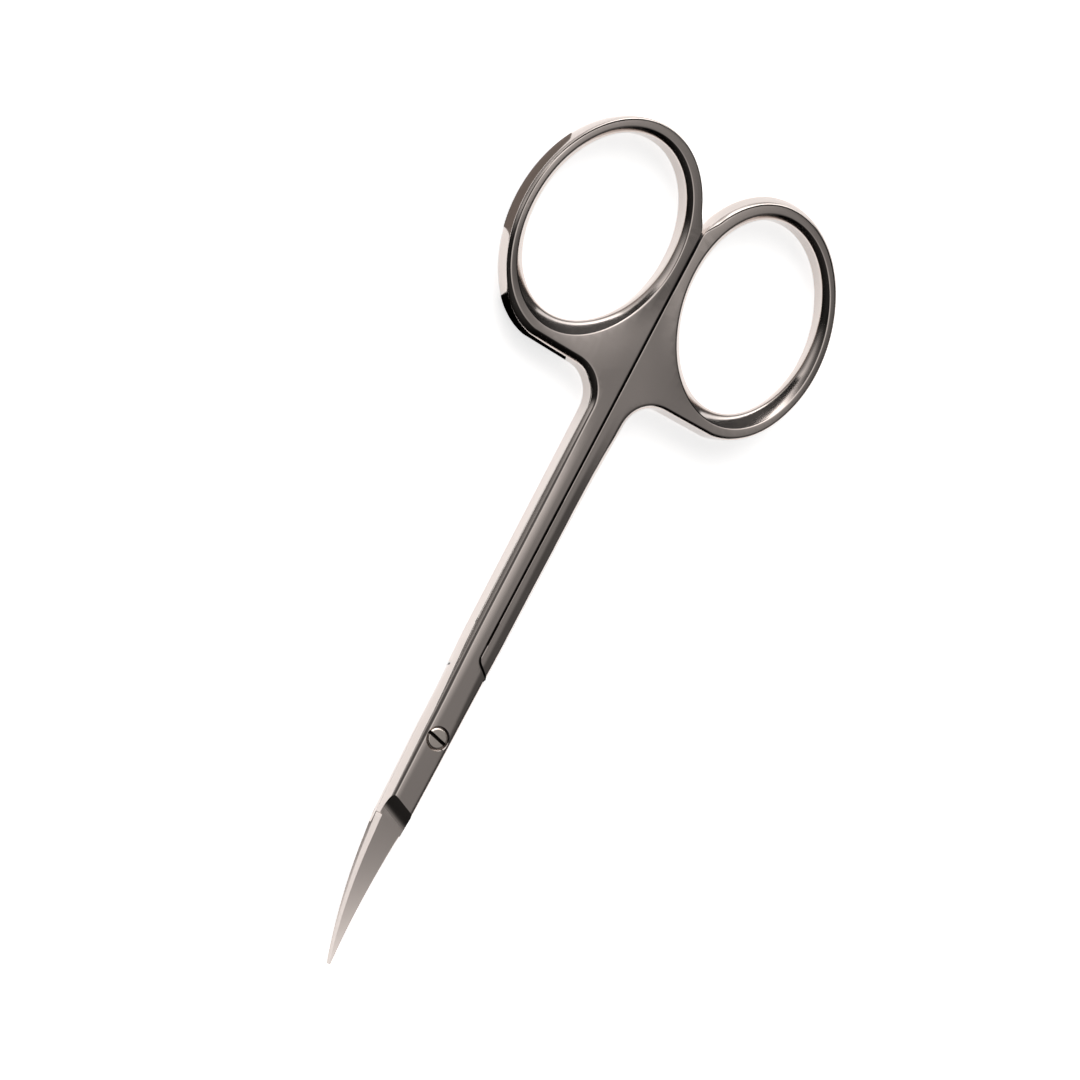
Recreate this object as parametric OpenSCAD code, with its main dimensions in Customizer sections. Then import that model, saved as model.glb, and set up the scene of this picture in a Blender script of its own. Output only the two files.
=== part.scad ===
// Cuticle scissors: two forged halves with oval finger rings, slim shanks and short blades that
// curve upward, held together by one slotted pivot screw.
// The origin is on the pivot axis, on the flat that the closed scissors rest on. X runs to the
// blade tips, Y to the finger ring of the back half, and Z up through the head of the screw.

/* [Forging] */
// Thickness of the rings, the shanks and the closed joint
forging_t = 3.6; // [3.2:0.1:4.2]
// Number of facet rows across the rounded flank
flank_rows = 8; // [4:2:12]
// Exponent of the flank, where 2 is an even bulge and more is flatter between its rounded ends
flank_power = 4; // [2:0.5:6]

/* [Finger rings] */
// Distance from the pivot axis back to the far end of both finger holes
holes_end = 74.1; // [70:0.1:80]
// Distance from the centre line out to the near side of both finger holes
holes_inset = 1.35; // [1.3:0.05:2.5]
// Length of the finger hole in the front half between its crisp edges
front_hole_l = 26.4; // [24:0.1:28]
// Width of the finger hole in the front half between its crisp edges
front_hole_w = 18.8; // [17:0.1:20]
// Length of the finger hole in the back half between its crisp edges
back_hole_l = 25.7; // [24:0.1:28]
// Width of the finger hole in the back half between its crisp edges
back_hole_w = 18.4; // [17:0.1:20]
// Angle that the front of each finger hole is turned outward
hole_tilt = 8; // [4:0.5:10]
// Width of the flat round the outside of the rings
ring_flat = 0.85; // [0.7:0.05:1.2]
// Width of the flat where the rings lie beside each other
split_flat = 1.3; // [1:0.05:1.5]
// Width of the flat where the ring joins its neck
neck_flat = 1.3; // [1.1:0.05:2]
// Distance that the flank of each finger hole stands in at half thickness
hole_swell = 0.55; // [0.3:0.05:0.7]
// The same at the front of the hole, where the flank is fullest
hole_front_swell = 1.65; // [0.8:0.05:1.7]
// Angle that this fullest place is turned outward in the front half
front_hole_turn = -10; // [-30:1:30]
// Angle that this fullest place is turned outward in the back half
back_hole_turn = 25; // [-30:1:30]
// Distance that the outer flank of the front ring stands out on its free side
front_ring_swell = 0.65; // [0.2:0.05:0.9]
// The same where it lies beside the other ring
front_split_swell = 0.1; // [0.1:0.05:0.6]
// Distance that the outer flank of the back ring stands out on its free side
back_ring_swell = 0.25; // [0.2:0.05:0.9]
// The same where it lies beside the other ring
back_split_swell = 0.9; // [0.1:0.05:0.9]

/* [Shanks] */
// Width of the flat of one shank beside the joint
shank_w = 1.84; // [1.6:0.02:2.4]
// Width of the flat of one shank at its neck
neck_w = 2.15; // [1.8:0.05:2.8]
// Distance that the flanks of the shanks and the joint stand out at half thickness
shank_swell = 0.42; // [0.2:0.02:0.6]
// Distance from the longer finger hole forward to the corner between the shanks and the rings
neck_run = 1.1; // [0.9:0.1:3]
// Radius of the hollow between the shank and the ring
neck_r = 4.4; // [2:0.1:5]
// Half the gap between the closed shanks beside the joint
split_gap = 0.06; // [0.04:0.01:0.12]
// Half the gap between the closed halves beside the rings
ring_gap = 0.14; // [0.1:0.01:0.2]

/* [Joint] */
// Distance from the pivot axis back to where the edge of the lap leaves the centre line
lap_back = 11.1; // [10:0.1:13]
// Distance along the joint that the edge of the lap takes to cross it
lap_run = 2.2; // [1.6:0.1:3]
// Radius of the bend at the inner end of the lap edge
lap_r = 1.3; // [0.6:0.1:1.4]
// Width of the gap along the edge of the lap
lap_edge_gap = 0.24; // [0.08:0.01:0.3]
// Clearance between the two lapped faces and between the two blades
lap_gap = 0.04; // [0.02:0.01:0.08]
// Distance from the pivot axis to where the shoulder runs out on the blade
shoulder_reach = 10.5; // [9.5:0.1:12]
// Angle of the shoulder across the joint
shoulder_slant = 20; // [10:1:25]
// Radius of the hollow shoulder
shoulder_r = 2.6; // [2:0.1:3.2]
// Width of the flat of the joint beside the shoulder
shoulder_w = 3.2; // [2.8:0.1:3.4]
// Distance that the flanks stand out beside the shoulder
shoulder_swell = 0.26; // [0.2:0.02:0.44]

/* [Blades] */
// Distance from the pivot axis to the blade tips
tip_reach = 28.9; // [26:0.1:33]
// Height that the curve lifts the tips
tip_lift = 4.2; // [2:0.1:4.5]
// Thickness of each blade beside the shoulder
blade_t = 1.05; // [0.7:0.05:1.1]
// Thickness of each blade at its tip
tip_t = 0.36; // [0.3:0.02:0.5]
// Width of each blade beside the shoulder
blade_w = 3.5; // [3.2:0.1:3.8]
// Width of each blade at its tip
tip_w = 0.2; // [0.2:0.02:0.4]
// Width of the bevel along the cutting edge
bevel_w = 0.42; // [0.2:0.02:0.6]
// Width of the chamfer along the back of the blade
spine_chamfer = 0.14; // [0.08:0.02:0.24]
// Exponent of the taper of the blade, where 1 is straight and more is fuller
taper_power = 1.25; // [1:0.05:1.6]
// Number of sections along each blade
blade_rows = 22; // [12:1:30]

/* [Screw] */
// Diameter of the screw head
head_d = 2.55; // [2.4:0.05:3]
// Height of the screw head
head_h = 0.85; // [0.6:0.05:1.1]
// Depth of the top of the screw head below the face of the joint
head_drop = 0.05; // [0.02:0.01:0.12]
// Clearance between the screw head and its seat all round
head_gap = 0.08; // [0.06:0.01:0.16]
// Diameter of the plain part of the screw that the front half turns on
journal_d = 1.9; // [1.6:0.05:2.1]
// Clearance all round the plain part of the screw
journal_gap = 0.03; // [0.01:0.01:0.06]
// Diameter of the threaded part of the screw
thread_d = 1.6; // [1.2:0.05:1.7]
// Clearance all round the threaded part of the screw
thread_gap = 0.01; // [0.01:0.01:0.02]
// Depth of the end of the screw above the resting flat
end_drop = 0.1; // [0.05:0.01:0.3]
// Width of the screwdriver slot
slot_w = 0.42; // [0.3:0.02:0.6]
// Depth of the screwdriver slot
slot_h = 0.45; // [0.3:0.05:0.6]
// Turn of the slot from straight across, towards the tips, in degrees
slot_turn = 11; // [0:1:90]

/* [Hidden] */
steel = [0.49, 0.46, 0.44];
screw_steel = [0.66, 0.63, 0.59];
// Side count of the bores and of the screw
bore_sides = 64;
// Distance that a cutting tool runs past the face that it cuts
past = 1;
// Height of the plane between the two halves in the joint
lap_z = forging_t / 2;
// Each ring as the middle of its hole, with the ring on the +Y side, the half length and width of
// the hole, the turn of its fullest place, and the outer swell on its free side and at the split
front_ring = ring(front_hole_l / 2, front_hole_w / 2, front_hole_turn,
                  front_ring_swell, front_split_swell);
back_ring = ring(back_hole_l / 2, back_hole_w / 2, back_hole_turn,
                 back_ring_swell, back_split_swell);
// Distance from the pivot axis back to the corner between the shanks and the rings
longer_reach = max(reach_x(front_ring[1]), reach_x(back_ring[1]));
neck_back = holes_end - 2 * longer_reach - neck_run;
// Angles on the finger hole where the outer edge of the ring starts and ends, and their step
ring_from = 0;
ring_to = 228;
ring_step = 6;
// Angle over which the flat narrows from the neck to the outside of the ring
neck_fade = 60;
// Angles on the finger hole between which the outer flank changes from the free side to the split
split_from = 100;
split_to = 200;
// Exponent that gathers the full part of the hole's flank at its front
front_power = 3;
// Length of the stretch beside the ring over which the inner flank flattens
flatten_run = 3;
// Shares of the way in and of the swell that are reached halfway along that stretch
flatten_in = 0.62;
flatten_swell = 0.4;
// Shares of lap_run from where the edge of the lap leaves the centre line to its two ends
lap_lead = 0.2;
lap_bend = 0.4;
// Step count of the rounded corners of an outline
corner_steps = 8;
// Width of the tool that cuts the shoulder, well past both sides of the joint
cutter_w = 15;
// Depth that the shoulder is sunk into the blade, so that the two run into each other
shoulder_sink = 0.03;
// Distance that the root of the blade reaches back into the joint
root_reach = 1.6;
// Radius from the pivot axis at which the blades begin to curve
curve_start = shoulder_reach + blade_w / 2 * tan(shoulder_slant);
// Radius of that curve, as an arc that reaches tip_lift at the tip
curve_run = tip_reach - curve_start;
curve_r = (pow(curve_run, 2) + pow(tip_lift, 2)) / (2 * tip_lift);
// Place along the joint where the outline of a forging ends, past its shoulder
blank_reach = curve_start + past;

function unit(v) = v / norm(v);
function mix(a, b, t) = a + (b - a) * t;
function ease(t) = let (c = max(0, min(1, t))) c * c * (3 - 2 * c);
function turned(v, angle) = [v.x * cos(angle) - v.y * sin(angle),
                             v.x * sin(angle) + v.y * cos(angle)];

// Reach of a tilted finger hole from its middle along X and Y, from its half length and width
function reach_x(half) = norm([half.x * cos(hole_tilt), half.y * sin(hole_tilt)]);
function reach_y(half) = norm([half.x * sin(hole_tilt), half.y * cos(hole_tilt)]);
function ring(half_l, half_w, turn, free_swell, split_swell) = let (half = [half_l, half_w])
    [[reach_x(half) - holes_end, reach_y(half) + holes_inset], half, turn,
     free_swell, split_swell];

// Point on the edge of a finger hole, and the direction square to the edge there
function hole_point(ring, a) = ring[0]
    + turned([ring[1].x * cos(a), ring[1].y * sin(a)], hole_tilt);
function hole_normal(ring, a) =
    turned(unit([ring[1].y * cos(a), ring[1].x * sin(a)]), hole_tilt);

// Outer edge of the flat of a ring, with the swell of its flank
function ring_edge(ring, a) =
    let (split = ease((a - split_from) / (split_to - split_from)),
         flat_w = mix(mix(neck_flat, ring_flat, ease(a / neck_fade)), split_flat, split),
         p = hole_point(ring, a) + flat_w * hole_normal(ring, a))
    [p.x, p.y, mix(ring[3], ring[4], split)];

// Arc that rounds corner b of the path a, b, c
function rounded(a, b, c, r, steps) =
    let (u = unit(a - b),
         v = unit(c - b),
         half = acos(u * v) / 2,
         centre = b + unit(u + v) * r / sin(half),
         first = b + u * r / tan(half) - centre,
         sweep = (180 - 2 * half) * sign(first.x * (b - centre).y - first.y * (b - centre).x))
    [for (i = [0 : steps]) centre + turned(first, sweep * i / steps)];

// Edge of the lap, from the centre line forward and out across the joint to side y = -shank_w
lap_corner = [-lap_back + lap_run * lap_bend, 0];
lap_exit = [-lap_back + lap_run, -shank_w];
lap_start = [-lap_back - lap_run * lap_lead, 0];
lap_edge = rounded(lap_start, lap_corner, lap_exit, lap_r, corner_steps);
lap_direction = unit(lap_exit - lap_corner);

// Outline of the flat of one forging as x, y and swell, with its ring on the +Y side
lap_shift = [lap_edge_gap / 2, split_gap];
function outline(ring) =
    let (first = ring_edge(ring, ring_from),
         last = ring_edge(ring, ring_to),
         hollow = rounded([-lap_back, shank_w], [-neck_back, neck_w], [first.x, first.y],
                          neck_r, corner_steps))
    concat(
        [[blank_reach, shoulder_w / 2, shoulder_swell]],
        [[0, shank_w, shank_swell]],
        [for (i = [0 : corner_steps])
            [hollow[i].x, hollow[i].y, mix(shank_swell, first[2], i / corner_steps)]],
        [for (a = [ring_from : ring_step : ring_to]) ring_edge(ring, a)],
        [[last.x + flatten_run / 2, mix(last.y, ring_gap, flatten_in),
          last[2] * flatten_swell]],
        [[last.x + flatten_run, ring_gap, 0]],
        [for (p = lap_edge) [p.x + lap_shift.x, p.y + lap_shift.y, 0]],
        [[lap_exit.x + lap_shift.x, lap_exit.y, 0]],
        [[lap_exit.x + lap_shift.x + shank_swell, lap_exit.y, shank_swell]],
        [[0, -shank_w, shank_swell]],
        [[blank_reach, -shoulder_w / 2, shoulder_swell]]);

// Outline of a finger hole, which its swell narrows
function hole_outline(ring) = [for (a = [0 : ring_step : 360 - ring_step])
    let (p = hole_point(ring, a),
         full = pow((1 + cos(a - ring[2])) / 2, front_power))
    [p.x, p.y, -mix(hole_swell, hole_front_swell, full)]];

// Heights through the thickness and the share of the swell at each, closest near the two flats
function flank_at(i) = cos(180 * i / flank_rows);
rows = [for (i = [flank_rows : -1 : 0]) let (u = flank_at(i))
    [forging_t / 2 * (1 + u), 1 - pow(abs(u), flank_power)]];
through_rows = concat([[-past, 0]], rows, [[forging_t + past, 0]]);

// Offset of point k of a closed outline, mitred between its two sides
function mitre(points, k) =
    let (n = len(points),
         a = points[(k + n - 1) % n],
         b = points[k],
         c = points[(k + 1) % n],
         before = unit([b.y - a.y, a.x - b.x]),
         after = unit([c.y - b.y, b.x - c.x]))
    (before + after) / (1 + before * after);

// Triangles that fill a flat outline, found by clipping one ear after another
function side_of(a, b, p) = (b.x - a.x) * (p.y - a.y) - (b.y - a.y) * (p.x - a.x);
function without(list, skip) = [for (i = [0 : len(list) - 1]) if (i != skip) list[i]];
function corner(ids, i) = let (n = len(ids)) [ids[(i + n - 1) % n], ids[i], ids[(i + 1) % n]];
function is_ear(points, ids, i) =
    let (t = corner(ids, i),
         a = points[t[0]],
         b = points[t[1]],
         c = points[t[2]])
    side_of(a, b, c) > 0 && len([for (k = ids)
        if (k != t[0] && k != t[1] && k != t[2] && side_of(a, b, points[k]) >= 0
            && side_of(b, c, points[k]) >= 0 && side_of(c, a, points[k]) >= 0) k]) == 0;
function first_ear(points, ids, i) = is_ear(points, ids, i) ? i : first_ear(points, ids, i + 1);
function ears(points, ids) =
    len(ids) == 3 ? [ids]
    : let (i = first_ear(points, ids, 0))
      concat([corner(ids, i)], ears(points, without(ids, i)));

// Solid with an outline that swells from flat to flat
module swelled(points, heights) {
    n = len(points);
    last = len(heights) - 1;
    cap = ears(points, [for (k = [0 : n - 1]) k]);
    offsets = [for (k = [0 : n - 1]) points[k][2] * mitre(points, k)];
    polyhedron(
        points = [for (h = heights) for (k = [0 : n - 1])
            [points[k].x + offsets[k].x * h[1], points[k].y + offsets[k].y * h[1], h[0]]],
        faces = concat(
            cap,
            [for (t = cap) last * n * [1, 1, 1] + [t[2], t[1], t[0]]],
            [for (i = [0 : last - 1]) for (k = [0 : n - 1])
                [i * n + k, (i + 1) * n + k, (i + 1) * n + (k + 1) % n]],
            [for (i = [0 : last - 1]) for (k = [0 : n - 1])
                [i * n + k, (i + 1) * n + (k + 1) % n, i * n + (k + 1) % n]]),
        convexity = 6);
}

// Room in the upper layer of the joint that the other half fills
module lap_room() {
    reach = forging_t;
    edge = [for (p = lap_edge) [p.x - lap_shift.x, -p.y + lap_shift.y]];
    exit = [lap_exit.x - lap_shift.x, -lap_exit.y];
    out = exit + reach * [lap_direction.x, -lap_direction.y];
    translate([0, 0, lap_z - lap_gap / 2])
        linear_extrude(height = forging_t)
            polygon(concat([[edge[0].x, -reach]], edge, [exit, out],
                           [[blank_reach + past, out.y], [blank_reach + past, -reach]]));
}

// Hollow shoulder across the lower face of the joint, and the end of the forging
module shoulder_cut() {
    translate([shoulder_reach, 0, lap_z - blade_t + shoulder_sink - shoulder_r])
        rotate([0, 0, shoulder_slant])
            union() {
                rotate([90, 0, 0])
                    cylinder(r = shoulder_r, h = cutter_w, center = true, $fn = bore_sides);
                translate([0, -cutter_w / 2, -cutter_w])
                    cube([cutter_w, cutter_w, 2 * cutter_w]);
            }
}

// One forging without its blade, with its ring on the +Y side and its lap face upward
module blank(ring) {
    difference() {
        swelled(outline(ring), rows);
        swelled(hole_outline(ring), through_rows);
        lap_room();
        shoulder_cut();
    }
}

// Height of the plane between the blades at a distance from the pivot axis
function lift(distance) =
    let (run = max(0, distance - curve_start))
    lap_z + curve_r - sqrt(pow(curve_r, 2) - pow(run, 2));

// Section of a blade at x, where side is 1 for the upper blade and -1 for the lower one
function blade_section(x, side) =
    let (s = max(0, x - shoulder_reach) / (tip_reach - shoulder_reach),
         half_w = mix(blade_w, tip_w, pow(s, taper_power)) / 2,
         t = mix(blade_t, tip_t, s),
         bevel = bevel_w * mix(1, tip_w / blade_w, s),
         chamfer = spine_chamfer * mix(1, tip_w / blade_w, s))
    [for (p = [[-half_w, 0], [half_w, 0], [half_w, t - chamfer], [half_w - chamfer, t],
               [-half_w + bevel, t]])
        [x, side * p.x, lift(norm([x, p.x])) + side * (p.y + lap_gap / 2)]];

// Curved blade, ground to a bevel along its cutting edge
module blade(side) {
    first = shoulder_reach - root_reach;
    sections = [for (i = [0 : blade_rows])
        blade_section(mix(first, tip_reach, i / blade_rows), side)];
    n = len(sections[0]);
    polyhedron(
        points = [for (s = sections) for (p = s) p],
        faces = concat(
            [[for (k = [0 : n - 1]) k]],
            [[for (k = [n - 1 : -1 : 0]) blade_rows * n + k]],
            [for (i = [0 : blade_rows - 1]) for (k = [0 : n - 1])
                [i * n + k, (i + 1) * n + k, (i + 1) * n + (k + 1) % n]],
            [for (i = [0 : blade_rows - 1]) for (k = [0 : n - 1])
                [i * n + k, (i + 1) * n + (k + 1) % n, i * n + (k + 1) % n]]),
        convexity = 4);
}

// Half with its ring on the -Y side, on top in the joint, with the bore that turns on the screw
module front_half() {
    color(steel)
        difference() {
            union() {
                translate([0, 0, forging_t])
                    rotate([180, 0, 0])
                        blank(front_ring);
                blade(1);
            }
            translate([0, 0, -past])
                cylinder(d = journal_d + 2 * journal_gap, h = forging_t + 2 * past,
                         $fn = bore_sides);
            translate([0, 0, forging_t - head_drop - head_h])
                cylinder(d = head_d + 2 * head_gap, h = forging_t, $fn = bore_sides);
        }
}

// Half with its ring on the +Y side, underneath in the joint, with the threaded hole
module back_half() {
    color(steel)
        difference() {
            union() {
                blank(back_ring);
                blade(-1);
            }
            translate([0, 0, -past])
                cylinder(d = thread_d + 2 * thread_gap, h = forging_t + 2 * past,
                         $fn = bore_sides);
        }
}

// Slotted screw: head, plain journal in the front half and threaded end in the back half
module pivot_screw() {
    head_z = forging_t - head_drop - head_h;
    color(screw_steel)
        difference() {
            union() {
                translate([0, 0, end_drop])
                    cylinder(d = thread_d, h = head_z - end_drop, $fn = bore_sides);
                translate([0, 0, lap_z])
                    cylinder(d = journal_d, h = head_z - lap_z, $fn = bore_sides);
                translate([0, 0, head_z])
                    cylinder(d = head_d, h = head_h, $fn = bore_sides);
            }
            rotate(-slot_turn)
                translate([-slot_w / 2, -head_d, head_z + head_h - slot_h])
                    cube([slot_w, 2 * head_d, forging_t]);
        }
}

front_half();
back_half();
pivot_screw();
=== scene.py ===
"""Cuticle scissors: two polished forgings and their pivot screw, laid on a white table.

Lengths of the parts are in millimetres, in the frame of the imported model: the origin is on the
pivot axis at the resting flat, X runs to the blade tips and Z up through the screw head.
"""
import math

import bmesh
import bpy
from mathutils import Matrix, Vector


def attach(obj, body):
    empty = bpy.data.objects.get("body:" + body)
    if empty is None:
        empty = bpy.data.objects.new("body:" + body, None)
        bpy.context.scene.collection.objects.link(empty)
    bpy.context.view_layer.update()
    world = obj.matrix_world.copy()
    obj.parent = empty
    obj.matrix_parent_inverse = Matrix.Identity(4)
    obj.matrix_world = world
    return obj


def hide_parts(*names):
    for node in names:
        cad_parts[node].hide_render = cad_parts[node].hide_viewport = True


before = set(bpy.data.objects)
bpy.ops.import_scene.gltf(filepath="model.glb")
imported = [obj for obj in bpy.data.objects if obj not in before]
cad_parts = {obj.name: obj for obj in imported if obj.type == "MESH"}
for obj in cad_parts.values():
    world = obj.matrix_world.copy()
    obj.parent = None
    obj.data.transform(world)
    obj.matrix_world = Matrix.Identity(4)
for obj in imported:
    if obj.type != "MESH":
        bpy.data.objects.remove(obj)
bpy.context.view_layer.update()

MM = 0.001

# Forgings
THICK = 3.6  # rings, shanks and closed joint
SHANK_W = 1.84  # flat of one shank beside the joint
SHANK_SWELL = 0.42  # distance that the flank of a shank stands out
SPLIT_GAP = 0.06  # half the gap between the closed shanks

# Flanks, which a wheel has buffed: a soft edge, a slope below it and an upright side
EDGE_R = 0.12  # width of the soft edge of a flank that doesn't stand out
SOFT_EDGE = 0.34  # the same on the shanks
RING_SOFT_EDGE = 0.26  # the same round the rings
JOINT_SOFT_EDGE = 0.5  # the same along the joint
EDGE_DROP = 0.3  # depth of the soft edge as a share of its width
JOINT_EDGE_DROP = 0.45  # the same along the joint
SLOPE_RUN = 0.72  # share of half the thickness that the slope takes for each millimetre it stands out
SLOPE_LIMITS = (0.2, 0.98)  # least and most share of half the thickness that stays upright
SLOPE_POWER = 1.25  # exponent of the slope, where 1 is straight and more is rounder
FULL_SWELL = 0.6  # distance past which a flank is fuller and its slope rounder still
FULL_POWER = 0.7  # rise of the exponent for each millimetre past that
NARROW_SLOPE = 0.08  # share of the slope that is left along the joint
RING_NARROWING = 0.5  # share of that narrowing that the rings get
SLOPE_END = 14  # distance back from the pivot at which the slope begins to narrow
SLOPE_FADE = 12  # length over which it narrows
RING_FADE = 4  # length behind the necks over which the edge of the rings comes in
FLANK_ROWS = 28
EDGE_ROWS = 5

# Finger rings, where the turn is that of the place at which the hole's flank is fullest
HOLES_END = 74.1  # distance from the pivot back to the far end of both holes
HOLES_INSET = 1.35  # distance from the centre line out to both holes
HOLE_TILT = 8  # degrees that the front of each hole is turned outward
RING_FLAT = 0.85  # width of the flat round the outside
SPLIT_FLAT = 1.3  # the same where the rings lie beside each other
NECK_FLAT = 1.3  # the same where a ring joins its neck
HOLE_SWELL = 0.55  # distance that the flank of a hole stands in
HOLE_FRONT_SWELL = 1.65  # the same where it is fullest
FRONT_POWER = 3  # exponent that gathers the full part at that place
FRONT_RING = {"hole": (26.4, 18.8), "turn": -10, "free_swell": 0.65, "split_swell": 0.1,
              "neck_slope": 0.13}
BACK_RING = {"hole": (25.7, 18.4), "turn": 25, "free_swell": 0.25, "split_swell": 0.9,
             "neck_slope": 0.05}
NECK_RUN = 1.1  # distance from the longer hole forward to the corner of the neck
NECK_W = 2.15  # width of the flat of a shank at its neck
NECK_R = 4.4  # radius of the hollow between shank and ring
NECK_FADE = 60  # degrees over which the flat narrows from the neck to the outside
SPLIT_FROM = 100  # degrees on the hole where the outer flank begins to change to the split's
SPLIT_TO = 200  # degrees where it has changed
RING_TO = 228  # degrees where the outer edge of a ring ends
RING_GAP = 0.14  # half the gap between the closed halves beside the rings
FLATTEN_RUN = 3  # length over which the flank beside the split flattens
FLATTEN_HANDLE = 0.42  # share of that length that each handle of its curve takes
RING_STEP = 2  # degrees between the points of a ring
ARC_STEPS = 16
LAP_ROOM_STEPS = 24
LONGEST_EDGE = 1.5  # past this length a straight stretch of the outline is split

# Joint
LAP_BACK = 11.1  # distance back from the pivot to where the lap's edge leaves the centre line
LAP_RUN = 2.2  # length that the edge takes to cross the joint
LAP_LEAD = 0.2  # share of that length by which the edge starts early
LAP_BEND = 0.4  # share of that length at which it bends
LAP_R = 1.3  # radius of the bend
LAP_EDGE_GAP = 0.24  # gap along the edge
LAP_GAP = 0.04  # clearance between the lapped faces and between the blades
SHOULDER_REACH = 10.5  # distance from the pivot to where the shoulder runs out on the blade
SHOULDER_SLANT = 20  # degrees of the shoulder across the joint
SHOULDER_R = 4.5  # radius of the hollow shoulder
SHOULDER_RUN_OUT = 0.67  # distance that this wider hollow runs out past SHOULDER_REACH
SHOULDER_W = 3.2  # width of the flat beside the shoulder
SHOULDER_SWELL = 0.26  # distance that its flanks stand out
SHOULDER_SINK = 0.03  # depth that the hollow is sunk into the blade where it runs out
SHOULDER_STEPS = 48
SHOULDER_TOOL = (15, 9, 16)  # length, half the height, and width of the tool that takes off the end

# Blades
TIP_REACH = 28.9  # distance from the pivot to the tips
TIP_LIFT = 4.2  # height that the curve lifts the tips
BLADE_T = 1.05  # thickness beside the shoulder
TIP_T = 0.36  # thickness at the tip
BLADE_W = 3.5  # width beside the shoulder
TIP_W = 0.2  # width at the tip
BEVEL_W = 0.42  # width of the bevel along the cutting edge
SPINE_CHAMFER = 0.14  # width of the chamfer along the back
TAPER_POWER = 1.25  # exponent of the taper, where 1 is straight and more is fuller
ROOT_EXTRA = 0.1  # half the width that the blade has to spare at its root
ROOT_RUN = 3  # length over which it blends away
ROOT_LEAD = 1.6  # distance that the blade starts inside the forging
SPINE_LEAN = 0.75  # distance that the back of the lower blade leans in
BLADE_ROWS = 150
BLADE_COLUMNS = (6, 8)  # faces across the inner and the outer side

# Screw
HEAD_D = 2.55
HEAD_H = 0.85
HEAD_DROP = 0.05  # depth of its top below the face of the joint
HEAD_GAP = 0.08  # clearance between the head and its seat all round
HEAD_DOME = [(0.3, 0), (0.2, 0.015), (0.1, 0.055), (0.04, 0.1), (0, 0.17)]  # inset and drop of its edge
SEAT_CHAMFER = 0.12
JOURNAL_D = 1.9  # plain part that the front half turns on
JOURNAL_GAP = 0.03  # clearance round it
THREAD_D = 1.6
THREAD_GAP = 0.01  # clearance round it
THREAD_CHAMFER = 0.15
END_DROP = 0.1  # height of its end above the resting flat
END_CHAMFER = 0.1  # chamfer of the hole that the end lies in
SLOT_W = 0.42
SLOT_H = 0.45
SLOT_TURN = -11  # degrees from straight across, which brings its right end towards the tips
SLOT_MARGIN = 0.01  # distance within which a face counts as a wall of the slot

# Crown that polishing leaves on the front of the joint and the shanks
LEFT_FLAT = 0.75  # distance left of the centre line at which the face begins to fall
LEFT_SLOPE = 0.21  # slope that it has reached at the flank
RIDGE_BACK = 0.7  # distance right of the centre line of the ridge, at the back of the joint
RIDGE_FRONT = 1.45  # the same at the shoulder
RIDGE_SOFT = 0.3  # width over which the ridge is rounded
RIGHT_SLOPE = 0.13  # slope to the right of the ridge
FACET_W = (0.05, 0.2)  # width of the facet along the right edge, at the back and at the shoulder
FACET_SLOPE = 1
CROWN_END = 45  # distance back from the pivot where the crown has faded
CROWN_FADE = 15  # length over which it fades
CROWN_ROWS = (22, 28)  # rows of faces along and across the joint and the shanks

# Slope that buffing leaves on the necks, towards the holes, and round the rings
NECK_CROWN_W = 4.5  # distance from the hole at which it begins
NECK_TOWARDS = (0.1, 0.9)  # cosines from the hole's front between which it comes in
NECK_END = 64  # distance back from the pivot to which the necks reach
NECK_ROWS = 16
NECK_ROW_AT = (0.6, 1)  # first row behind the crown, and the distance between rows
NECK_ROW_OUT = (0.4, 0.9)  # first row out from the centre line, and the distance between rows
RING_SLOPE = 0.06  # slope of the flat of a ring, away from its hole
RING_SLOPE_W = 1.5  # width over which it acts

# Studio, with the corners of two cards on the table and one card upright behind the rings
BLACK_CARD = [(-46, -6.5), (-46.9, -10), (-47.6, -13), (-49.6, -16), (130, -230), (330, -230), (-8, -12)]
GREY_CARD = [(-55.8, -20.4), (-46.6, -49.5), (-86, -49.5), (-69, -18.2), (-62, -20.7)]
CARD_Z = 0.05  # height of the cards above the table
BACK_CARD_X = -98
BACK_CARD_Y = 70  # half its width
BACK_CARD_Z = (20, 58)  # its lower and upper edge
DARK_SIDE = (0.95, -0.26, 0.17)  # direction of the dark side of the room
VIEWER = (0, -0.62, 0.78)  # direction of the dark place where the photographer stands
TABLE_REACH = 2000  # half the side of the table top
TABLE_DROP = 0.02  # depth of the table top below the resting flat
TABLE_GLOW = 0.75  # radiance that keeps the table white to the camera and in the steel

# Limits of the finishes and of the painted shade in the gaps
LOWER_SATIN_LEAD = 0.4  # the satin of the lower blade begins this much further out
SATIN_LEAD = 1.8  # the satin between the blades begins this far inside the shoulder
LAP_MARGIN = 1  # length past the end of the lap's edge that still counts as its wall
QUITE_FLAT = 0.99  # a face whose normal has less than this along Z may be a wall of the split
NEARLY_FLAT = 0.95  # and one with more may be the inner side of a blade
SLANTED = 0.9  # and one with less may be a wall at the lap's edge
LAP_TURN = math.sqrt(0.02)  # if its normal has more than this along X

# Making of the meshes
PAST = 1  # distance that a cutting tool runs past the face that it cuts
FAR = 90  # beyond every point of the scissors
TURNED_SIDES = 128
SHARP_ANGLE = 28  # degrees between faces past which an edge is crisp
LARGE_FACE_WEIGHT = 60  # how far large faces pull the shading of their corners flat, where 50 is evenly
SAME_HEIGHT = 1e-6
SAME_PLACE = 1e-5

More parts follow.
